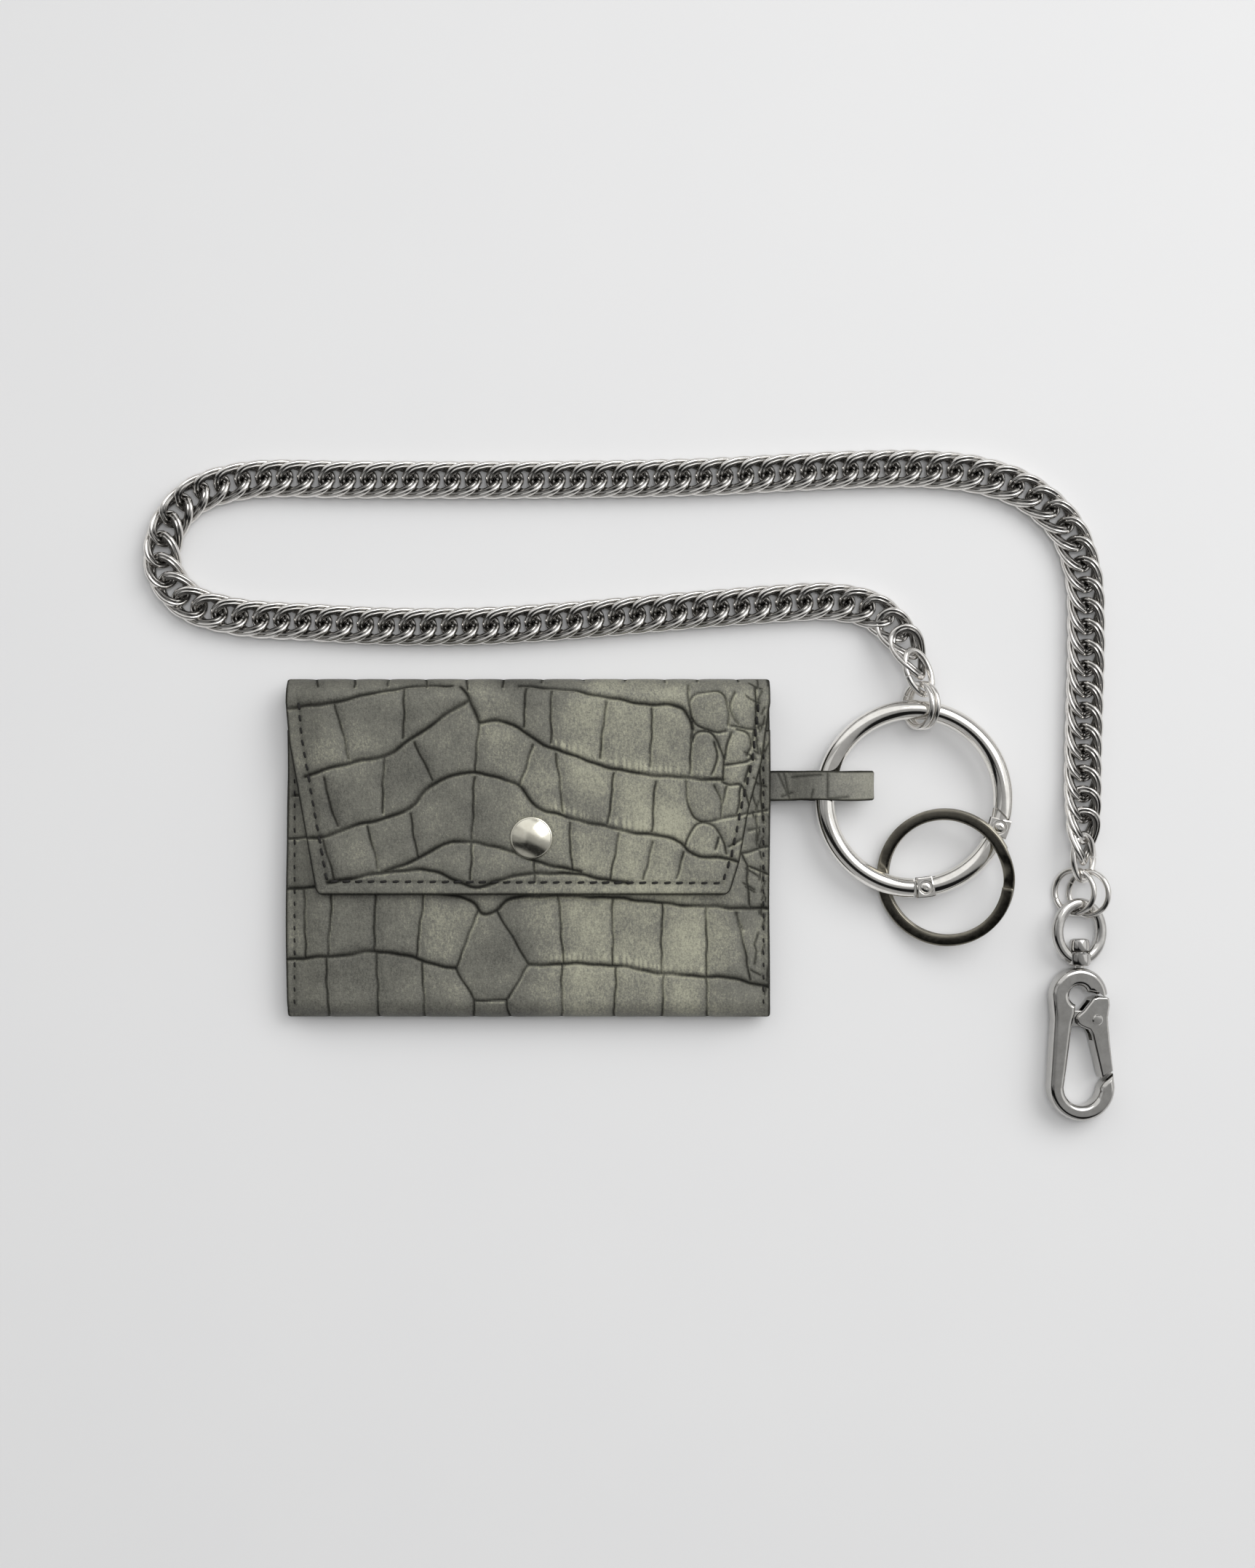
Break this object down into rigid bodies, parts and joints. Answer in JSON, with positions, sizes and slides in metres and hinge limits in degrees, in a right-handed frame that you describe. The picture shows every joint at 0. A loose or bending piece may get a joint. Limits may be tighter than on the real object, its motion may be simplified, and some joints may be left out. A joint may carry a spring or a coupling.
{
  "type": "chain_wallet",
  "caption": "Small flap wallet of grey crocodile-embossed leather with a snap, a strap, a spring gate ring, a split key ring and a woven curb chain with a swivel snap hook",
  "frame": {"origin": "centre of the wallet's flat back face", "axes": "+X along the wallet towards the strap and rings, +Y up the wallet towards the top fold, +Z out of the back face towards the flap"},
  "size_m": [0.2309, 0.1594, 0.013],
  "materials": {
    "leather": "satin",
    "lining": "matte",
    "nickel": "polished",
    "spring_steel": "satin"
  },
  "bodies": {
    "wallet": {"outer_shell": "leather", "pocket_lining": "lining", "snap_stud": "nickel", "snap_stud_post": "nickel"},
    "flap": {"flap": "leather", "flap_lining": "lining", "snap_cap": "nickel", "snap_socket": "nickel"},
    "strap": {"loop_strap": "leather"},
    "gate_ring": {"ring_body": "nickel", "ring_hinge_pin": "nickel"},
    "ring_gate": {"ring_gate": "nickel", "ring_latch_pin": "nickel", "ring_gate_spring": "spring_steel"},
    "key_ring": {"key_ring": "nickel"},
    "start_rings": {"start_jump_ring_a": "nickel", "start_jump_ring_b": "nickel"},
    "chain_01": {"first_link": "nickel", "chain_01": "nickel"},
    "chain_02": {"chain_02": "nickel"},
    "chain_03": {"chain_03": "nickel"},
    "chain_04": {"chain_04": "nickel"},
    "chain_05": {"chain_05": "nickel"},
    "chain_06": {"chain_06": "nickel"},
    "chain_07": {"chain_07": "nickel"},
    "chain_08": {"chain_08": "nickel"},
    "chain_09": {"chain_09": "nickel"},
    "chain_10": {"chain_10": "nickel"},
    "chain_11": {"chain_11": "nickel"},
    "chain_12": {"chain_12": "nickel"},
    "chain_13": {"chain_13": "nickel"},
    "chain_14": {"chain_14": "nickel"},
    "chain_15": {"chain_15": "nickel"},
    "chain_16": {"chain_16": "nickel", "last_link": "nickel"},
    "end_rings": {"end_jump_ring_a": "nickel", "end_jump_ring_b": "nickel"},
    "swivel_eye": {"swivel_eye": "nickel"},
    "hook": {"swivel_post": "nickel", "hook_body": "nickel", "hook_gate_pin": "nickel"},
    "hook_gate": {"hook_gate": "nickel", "hook_gate_spring": "spring_steel"}
  },
  "joints": [
    {"name": "flap_fold", "type": "hinge", "parent": "wallet", "child": "flap", "pos_m": [0, 0.0393, 0.0056], "axis": [1, 0, 0], "range_deg": [-135, 0]},
    {"name": "strap_bend", "type": "hinge", "parent": "wallet", "child": "strap", "pos_m": [0.0591, 0.0148, 0.0044], "axis": [0, -1, 0], "range_deg": [0, 20]},
    {"name": "gate_ring_swing", "type": "hinge", "parent": "strap", "child": "gate_ring", "pos_m": [0.0704, 0.0148, 0.0063], "axis": [0, -1, 0], "range_deg": [0, 45]},
    {"name": "ring_gate_open", "type": "hinge", "parent": "gate_ring", "child": "ring_gate", "pos_m": [0.09387, -0.00924, 0.0063], "axis": [0, 0, 1], "range_deg": [0, 12], "stiffness_Nm_per_rad": 0.0004, "springref_deg": -5.73},
    {"name": "key_ring_slide", "type": "hinge", "parent": "gate_ring", "child": "key_ring", "pos_m": [0.0913, 0.0117, 0.0063], "axis": [0, 0, 1], "range_deg": [-50, 0]},
    {"name": "start_rings_swing", "type": "hinge", "parent": "gate_ring", "child": "start_rings", "pos_m": [0.09292, 0.03274, 0.0063], "axis": [0.9971, -0.0767, 0], "range_deg": [-10, 25]},
    {"name": "chain_01_bend", "type": "hinge", "parent": "start_rings", "child": "chain_01", "pos_m": [0.09381, 0.03764, 0.0065], "axis": [0.9474, 0.3201, 0], "range_deg": [-20, 20]},
    {"name": "chain_02_bend", "type": "hinge", "parent": "chain_01", "child": "chain_02", "pos_m": [0.06407, 0.05849, 0.0023], "axis": [-0.0701, 0.9975, 0], "range_deg": [-20, 20]},
    {"name": "chain_03_bend", "type": "hinge", "parent": "chain_02", "child": "chain_03", "pos_m": [0.03337, 0.05616, 0.0023], "axis": [0, 0, 1], "range_deg": [-5, 5]},
    {"name": "chain_04_bend", "type": "hinge", "parent": "chain_03", "child": "chain_04", "pos_m": [0.00269, 0.05365, 0.0023], "axis": [0.0656, -0.9978, 0], "range_deg": [-20, 20]},
    {"name": "chain_05_bend", "type": "hinge", "parent": "chain_04", "child": "chain_05", "pos_m": [-0.02807, 0.05271, 0.0023], "axis": [0, 0, -1], "range_deg": [-5, 5]},
    {"name": "chain_06_bend", "type": "hinge", "parent": "chain_05", "child": "chain_06", "pos_m": [-0.05882, 0.05406, 0.0023], "axis": [0.0469, 0.9989, 0], "range_deg": [-20, 20]},
    {"name": "chain_07_bend", "type": "hinge", "parent": "chain_06", "child": "chain_07", "pos_m": [-0.08615, 0.06457, 0.0023], "axis": [0, 0, 1], "range_deg": [-5, 5]},
    {"name": "chain_08_bend", "type": "hinge", "parent": "chain_07", "child": "chain_08", "pos_m": [-0.07135, 0.08676, 0.0023], "axis": [-0.2138, 0.9769, 0], "range_deg": [-20, 20]},
    {"name": "chain_09_bend", "type": "hinge", "parent": "chain_08", "child": "chain_09", "pos_m": [-0.04066, 0.0877, 0.0023], "axis": [0, 0, -1], "range_deg": [-5, 5]},
    {"name": "chain_10_bend", "type": "hinge", "parent": "chain_09", "child": "chain_10", "pos_m": [-0.00987, 0.08761, 0.0023], "axis": [0.003, -1, 0], "range_deg": [-20, 20]},
    {"name": "chain_11_bend", "type": "hinge", "parent": "chain_10", "child": "chain_11", "pos_m": [0.02091, 0.0879, 0.0023], "axis": [0, 0, 1], "range_deg": [-5, 5]},
    {"name": "chain_12_bend", "type": "hinge", "parent": "chain_11", "child": "chain_12", "pos_m": [0.05168, 0.08884, 0.0023], "axis": [-0.0546, 0.9985, 0], "range_deg": [-20, 20]},
    {"name": "chain_13_bend", "type": "hinge", "parent": "chain_12", "child": "chain_13", "pos_m": [0.08243, 0.09026, 0.0023], "axis": [0, 0, -1], "range_deg": [-5, 5]},
    {"name": "chain_14_bend", "type": "hinge", "parent": "chain_13", "child": "chain_14", "pos_m": [0.11289, 0.08718, 0.0023], "axis": [-0.3185, -0.9479, 0], "range_deg": [-20, 20]},
    {"name": "chain_15_bend", "type": "hinge", "parent": "chain_14", "child": "chain_15", "pos_m": [0.13198, 0.06512, 0.0023], "axis": [0, 0, 1], "range_deg": [-5, 5]},
    {"name": "chain_16_bend", "type": "hinge", "parent": "chain_15", "child": "chain_16", "pos_m": [0.13231, 0.03438, 0.0023], "axis": [0.9997, -0.0259, 0], "range_deg": [-20, 20]},
    {"name": "end_rings_swing", "type": "hinge", "parent": "chain_16", "child": "end_rings", "pos_m": [0.1315, -0.0065, 0.0041], "axis": [1, 0, 0], "range_deg": [-12, 12]},
    {"name": "swivel_eye_swing", "type": "hinge", "parent": "end_rings", "child": "swivel_eye", "pos_m": [0.1312, -0.0145, 0.0041], "axis": [-1, 0, 0], "range_deg": [-15, 15]},
    {"name": "hook_swivel", "type": "hinge", "parent": "swivel_eye", "child": "hook", "pos_m": [0.13085, -0.031, 0.004], "axis": [0, 1, 0], "continuous": true},
    {"name": "hook_gate_open", "type": "hinge", "parent": "hook", "child": "hook_gate", "pos_m": [0.13451, -0.0407, 0.00348], "axis": [-0.1392, 0, -0.9903], "range_deg": [0, 22], "stiffness_Nm_per_rad": 0.0004, "springref_deg": -5.73}
  ]
}
